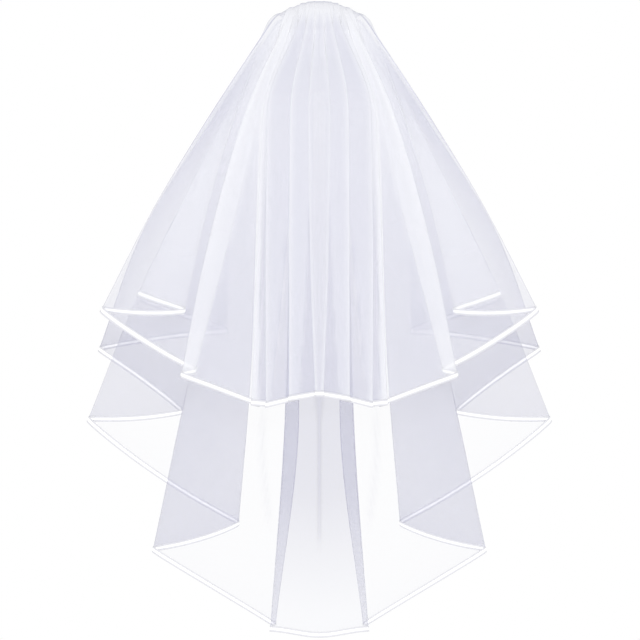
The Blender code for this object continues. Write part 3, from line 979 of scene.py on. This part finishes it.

# %% [markdown]
# Satin is smooth and softly glossy, so its material is less rough than the tulle, with a faint
# sheen and a bump from its threads. The woven edges and the pressed fold are painted greyer than
# the face, as painted shade where the ribbon turns away from the light. They are marked by their
# place across the flat ribbon, so they follow it round every fold of the hem.

# %% Satin material
WOVEN_EDGE = 1.9  # width of the painted shade along the woven edge
PRESSED_FOLD = 2.9  # half-width of the painted shade round the pressed fold, of which the front shows the last part
RIBBON_STITCHES = 2.0  # from the woven edge to the stitches
SATIN_WHITE = (0.97, 0.97, 0.975, 1.0)
# painted shade at the woven edges and the pressed fold, where the satin turns away from the light
SATIN_SHADE = (0.60, 0.60, 0.635, 1.0)
SATIN_ROUGHNESS, SATIN_SHEEN = 0.35, 0.15
THREAD_HEIGHT = 0.03
STITCH_HEIGHT = 6.0  # in heights of a thread
MARK_FADE = 0.15  # share of a mark's reach over which it fades


def near(tree, value, place, reach):
    """1 where a value is close to a place, and 0 beyond the reach."""
    away = math_node(tree, "ABSOLUTE", math_node(tree, "SUBTRACT", value, place))
    soft = tree.nodes.new("ShaderNodeMapRange")
    soft.inputs["From Min"].default_value = reach * (1 + MARK_FADE)
    soft.inputs["From Max"].default_value = reach * (1 - MARK_FADE)
    tree.links.new(away, soft.inputs["Value"])
    return soft.outputs[0]


def satin_material(name, shade_marks, rows):
    """White satin with painted grey shade at each place and reach across it, and rows of stitches.
    """
    made, tree, shader = new_material(name, SATIN_ROUGHNESS)
    place = cut_place(tree)
    split = tree.nodes.new("ShaderNodeSeparateXYZ")
    tree.links.new(place, split.inputs[0])
    painted_edges = None
    for middle, reach in shade_marks:
        shade_mark = near(tree, split.outputs["Y"], middle * MM, reach * MM)
        painted_edges = shade_mark if painted_edges is None else math_node(tree, "MAXIMUM", painted_edges, shade_mark)
    height = use_group(tree, weave_group, place, THREADS_PER_METRE).outputs["Height"]
    for row in rows:
        stitch = use_group(tree, stitch_group, place, row * MM).outputs["Stitch"]
        raised = math_node(tree, "MULTIPLY", stitch, STITCH_HEIGHT)
        height = math_node(tree, "ADD", height, raised)
    mix = tree.nodes.new("ShaderNodeMix")
    mix.data_type = "RGBA"
    mix.inputs["A"].default_value = SATIN_WHITE
    mix.inputs["B"].default_value = SATIN_SHADE
    tree.links.new(painted_edges, mix.inputs["Factor"])
    tree.links.new(mix.outputs["Result"], shader.inputs["Base Color"])
    bump = tree.nodes.new("ShaderNodeBump")
    bump.inputs["Distance"].default_value = THREAD_HEIGHT * MM
    tree.links.new(height, bump.inputs["Height"])
    tree.links.new(bump.outputs["Normal"], shader.inputs["Normal"])
    shader.inputs["Sheen Weight"].default_value = SATIN_SHEEN
    return made


ribbon_shade_marks = [(0, WOVEN_EDGE), (RIBBON_FLAT / 2, PRESSED_FOLD), (RIBBON_FLAT, WOVEN_EDGE)]
ribbon_rows = [RIBBON_STITCHES, RIBBON_FLAT - RIBBON_STITCHES]
satin_ribbon = satin_material("satin_ribbon", ribbon_shade_marks, ribbon_rows)
band_shade_marks = [(0, WOVEN_EDGE), (BAND_HEIGHT, WOVEN_EDGE)]
band_rows = [BAND_HEIGHT / 4, BAND_HEIGHT * 3 / 4]
satin_band = satin_material("satin_band", band_shade_marks, band_rows)
print("satin for the", satin_ribbon.name, "and the", satin_band.name)

# %% [markdown]
# ## The comb
# The comb is moulded in clear plastic. Its solid already has the right shape, so it stays and only
# gets the finish: glass-like, with a moulded surface that is a little uneven.

# %% Clear plastic
COMB_TINT = (0.93, 0.94, 0.96, 1.0)
COMB_ROUGHNESS, COMB_CLEARNESS = 0.25, 0.6
PLASTIC_IOR = 1.49  # how strongly the plastic bends light
UNEVEN_SCALE, UNEVEN_HEIGHT = 220.0, 0.05  # patches in a metre, and their height


def comb_material():
    """Clear moulded plastic with a faintly uneven surface."""
    made, tree, shader = new_material("comb_clear", COMB_ROUGHNESS)
    shader.inputs["Base Color"].default_value = COMB_TINT
    shader.inputs["Transmission Weight"].default_value = COMB_CLEARNESS
    shader.inputs["IOR"].default_value = PLASTIC_IOR
    where = tree.nodes.new("ShaderNodeTexCoord")
    uneven = tree.nodes.new("ShaderNodeTexNoise")
    uneven.inputs["Scale"].default_value = UNEVEN_SCALE
    tree.links.new(where.outputs["Object"], uneven.inputs["Vector"])
    bump = tree.nodes.new("ShaderNodeBump")
    bump.inputs["Distance"].default_value = UNEVEN_HEIGHT * MM
    tree.links.new(uneven.outputs["Fac"], bump.inputs["Height"])
    tree.links.new(bump.outputs["Normal"], shader.inputs["Normal"])
    return made


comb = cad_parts["comb"]
comb_clear = comb_material()
for place in comb.material_slots:
    place.material = comb_clear
print("comb finish:", comb_clear.name)

# %% [markdown]
# ## A finish for every piece
# The finishes are ready, so each new piece gets its own. Pieces cut from the same cloth share one
# material: a change to it then shows on all of them.

# %% Finish the pieces
for piece, finish in (
    (lower_tulle, tulle_white),
    (upper_tulle, tulle_white),
    (lower_ribbon_piece, satin_ribbon),
    (upper_ribbon_piece, satin_ribbon),
    (band_piece, satin_band),
):
    piece.data.materials.append(finish)
    print(piece.name, "is", finish.name)

# %% [markdown]
# ## The flat cut
# Each tier was cut flat before it was sewn. The cut is as wide as its folds laid out and as long
# as its grain lines, and its hem is curved. Nobody can see how it runs up to the band. Here it
# flares: the sewn edge is a fixed number of times as long as the seam, and its sides run straight
# from there to the hem. The number is a guess, so the area of a straight cut is printed beside it.

# %% Measure the flat cut
GATHER_RATIO = 7.0  # cloth sewn into each length of the seam: a guess, as the seam is hidden


def flat_cut(tier):
    """Width, length and flared area of a tier's flat cut, in metres, and its area if straight."""
    line = grain_lines(tier)
    lengths = lengths_down(tier_surface(line))[-1]
    width = 2 * line["cut"][-1]
    sewn = GATHER_RATIO * 2 * line["seam_x"][-1]
    straight = 2 * np.sum(np.diff(line["cut"]) * (lengths[1:] + lengths[:-1]) / 2)
    flared = straight * (1 + sewn / width) / 2
    return width * MM, lengths.max() * MM, flared * MM**2, straight * MM**2


cuts = {tier.name: flat_cut(tier) for tier in (LOWER_TIER, UPPER_TIER)}
for name, (width, length, flared, straight) in cuts.items():
    print(name, "cut:", round(width, 2), "by", round(length, 2), "m")
    print("  flared", round(flared, 2), "m2, straight would be", round(straight, 2), "m2")

# %% [markdown]
# ## What each piece is
# Every new piece rides on the one body and stands for its imported solid, which is hidden.

# %% Say what each piece is
for piece, node, slot in (
    (lower_tulle, "lower_tier", "tulle"),
    (upper_tulle, "upper_tier", "tulle"),
    (lower_ribbon_piece, "lower_ribbon", "satin"),
    (upper_ribbon_piece, "upper_ribbon", "satin"),
    (band_piece, "gather_band", "satin"),
):
    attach(piece, "root")
    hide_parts(node)
for piece, ribbon in ((lower_tulle, lower_ribbon_piece), (upper_tulle, upper_ribbon_piece)):
    width, length, flared, _ = cuts[piece.name]
    print(piece.name, "is gathered cloth with its", ribbon.name)

# %% [markdown]
# ## The floor
# A plain pale floor lies where a wearer would stand. It belongs to the stage and not to the veil,
# and is wide enough that its edge doesn't show from any side.

# %% Lay the floor
FLOOR_DROP = 1.65  # the wearer's crown above the floor
FLOOR_RADIUS = 10.5
FLOOR_CORNERS = 96
FLOOR_ROUGHNESS = 0.9
FLOOR_WHITE = (0.92, 0.92, 0.92, 1.0)

bpy.ops.object.select_all(action="DESELECT")
bpy.ops.mesh.primitive_circle_add(
    vertices=FLOOR_CORNERS, radius=FLOOR_RADIUS, fill_type="NGON", location=(0, 0, -FLOOR_DROP)
)
floor = bpy.context.object
floor.name = "floor"
floor_paint, _, floor_shader = new_material("floor_pale", FLOOR_ROUGHNESS)
floor_shader.inputs["Base Color"].default_value = FLOOR_WHITE
floor.data.materials.append(floor_paint)
print("floor:", FLOOR_DROP, "m below the comb")

# %% [markdown]
# ## The light
# White net needs soft light from all round, because a hard lamp would burn out the ribbons and
# leave the net grey. A white world gives most of it, and two large softboxes, one near the camera
# and one facing the front, add a soft gloss to the satin.

# %% Set up the light
WORLD_LIGHT = 1.0
SOFTBOX_SIZE = 2.4
SOFTBOX_POWER = 75.0
SOFTBOX_AWAY, SOFTBOX_HEIGHT = 4.4, 0.9
LAYERS_SEEN_THROUGH = 96  # surfaces of net that one line of sight may pass

for name, side in (("softbox_behind_camera", -1), ("softbox_in_front", 1)):
    lamp = bpy.data.lights.new(name, "AREA")
    lamp.size = SOFTBOX_SIZE
    lamp.energy = SOFTBOX_POWER
    light = bpy.data.objects.new(name, lamp)
    light.location = (0, side * SOFTBOX_AWAY, SOFTBOX_HEIGHT)
    aim = Vector((0, 0, CAMERA_HEIGHT)) - light.location
    light.rotation_euler = aim.to_track_quat("-Z", "Y").to_euler()
    bpy.context.scene.collection.objects.link(light)
for tulle in (lower_tulle, upper_tulle):
    tulle.visible_shadow = False  # a net this sheer casts hardly any shadow on itself
    tulle.visible_diffuse = False

world = bpy.data.worlds.new("studio")
world.use_nodes = True
background = world.node_tree.nodes["Background"]
background.inputs["Color"].default_value = (1.0, 1.0, 1.0, 1.0)
background.inputs["Strength"].default_value = WORLD_LIGHT
bpy.context.scene.world = world
bpy.context.scene.view_settings.view_transform = "Standard"
bpy.context.scene.cycles.transparent_max_bounces = LAYERS_SEEN_THROUGH
print("softboxes:", SOFTBOX_POWER, "W each; world:", WORLD_LIGHT)
